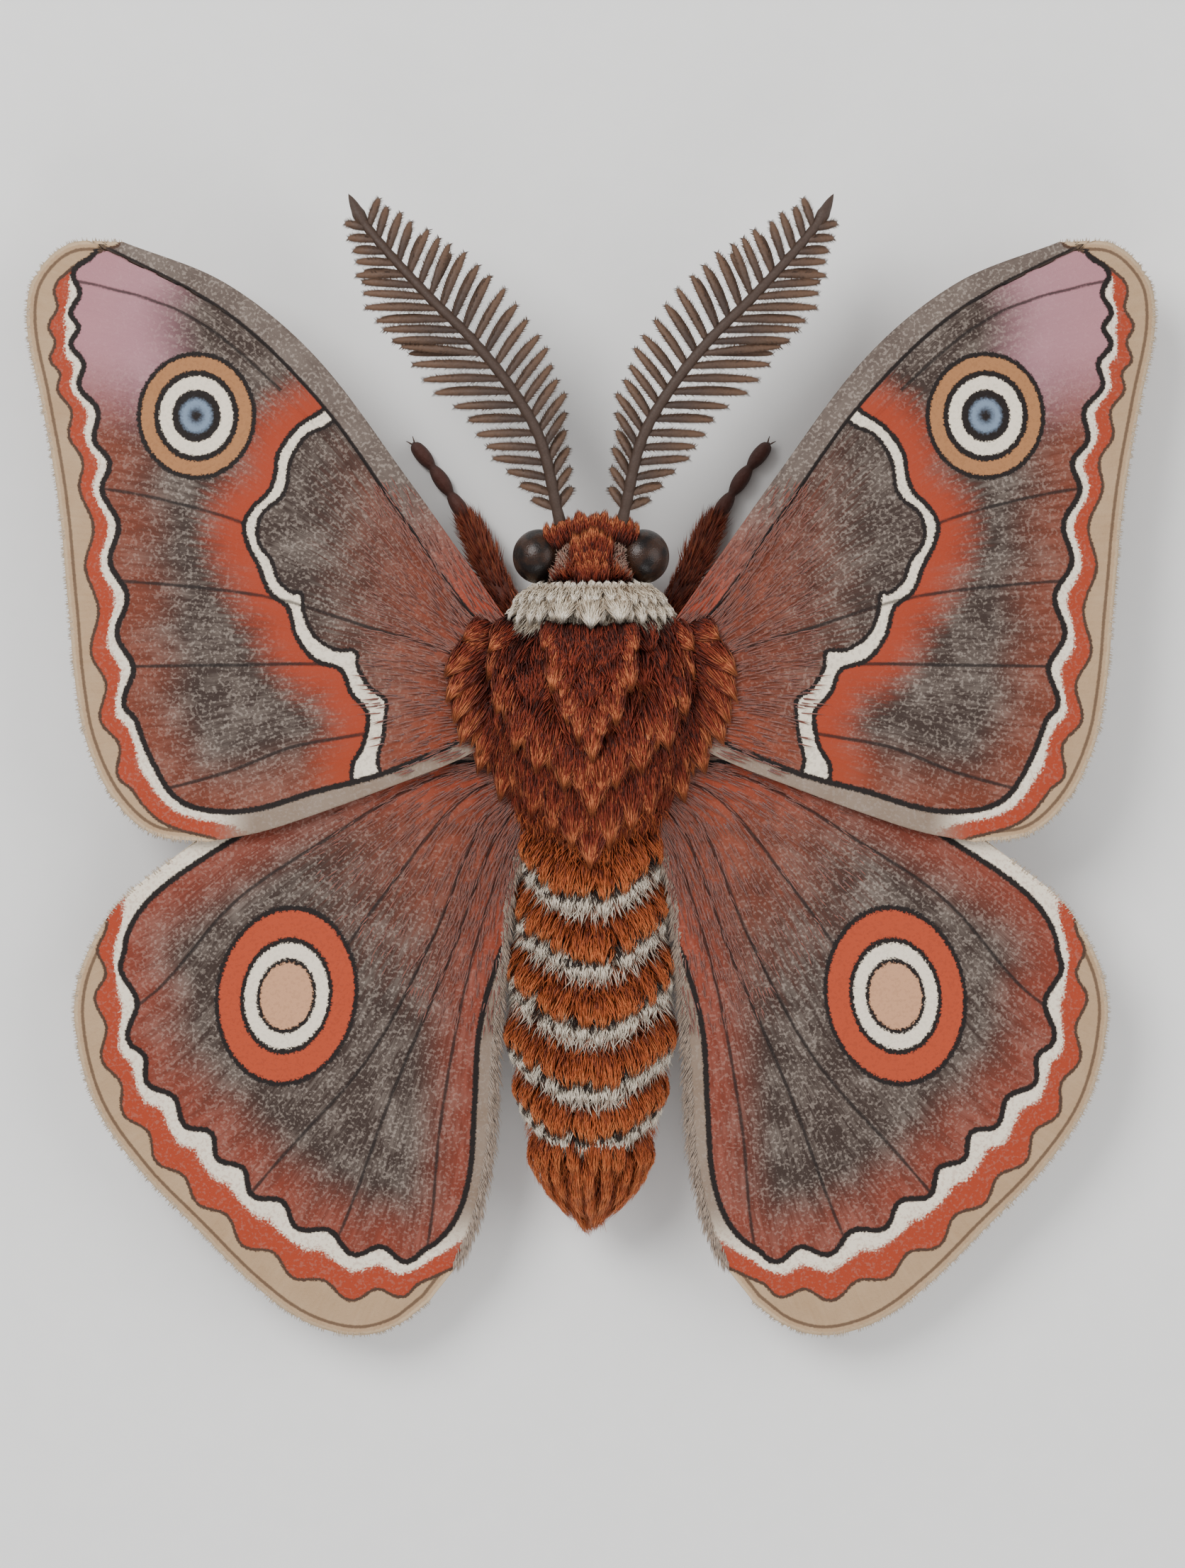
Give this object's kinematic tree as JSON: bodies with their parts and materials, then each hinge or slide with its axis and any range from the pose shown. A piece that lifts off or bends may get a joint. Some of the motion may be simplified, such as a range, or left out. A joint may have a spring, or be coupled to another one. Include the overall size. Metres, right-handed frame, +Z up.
{
  "type": "cecropia moth",
  "caption": "Life-size cecropia moth standing with wings spread flat: feathery antennae, furred thorax with pale collar, banded abdomen, raised wing veins. A still display model.",
  "frame": {"origin": "on the floor under the middle of the moth's box: midway between the wing tips, and midway between the antennae's tips and the hindwings' rear margins", "axes": "+Y towards the head and antennae, along the body; +X towards the moth's right wings; +Z up from the floor that the feet stand on"},
  "size_m": [0.1502, 0.1515, 0.0268],
  "materials": {
    "thorax_coat": "dense rust-red fur",
    "collar_coat": "dense cream-white fur",
    "head_coat": "short rust-brown fur",
    "abdomen_coat": "short rust-orange fur with white and black bands",
    "eye": "dark glossy compound eye",
    "antenna": "matt dark brown",
    "palp_coat": "short rust-red fur",
    "leg_coat": "short rust-red fur, darker at the feet",
    "forewing_scales": "mealy matt scales, grey-brown with rust, white and black marks",
    "hindwing_scales": "mealy matt scales, brown with rust, white and black marks"
  },
  "bodies": {
    "root": {"thorax": "thorax_coat", "collar": "collar_coat", "head": "head_coat", "abdomen": "abdomen_coat", "eye_left": "eye", "eye_right": "eye", "antenna_left": "antenna", "antenna_right": "antenna", "palp_left": "palp_coat", "palp_right": "palp_coat", "forewing_left": "forewing_scales", "forewing_right": "forewing_scales", "hindwing_left": "hindwing_scales", "hindwing_right": "hindwing_scales", "leg_front_left": "leg_coat", "leg_front_right": "leg_coat", "leg_middle_left": "leg_coat", "leg_middle_right": "leg_coat", "leg_hind_left": "leg_coat", "leg_hind_right": "leg_coat"}
  },
  "joints": []
}
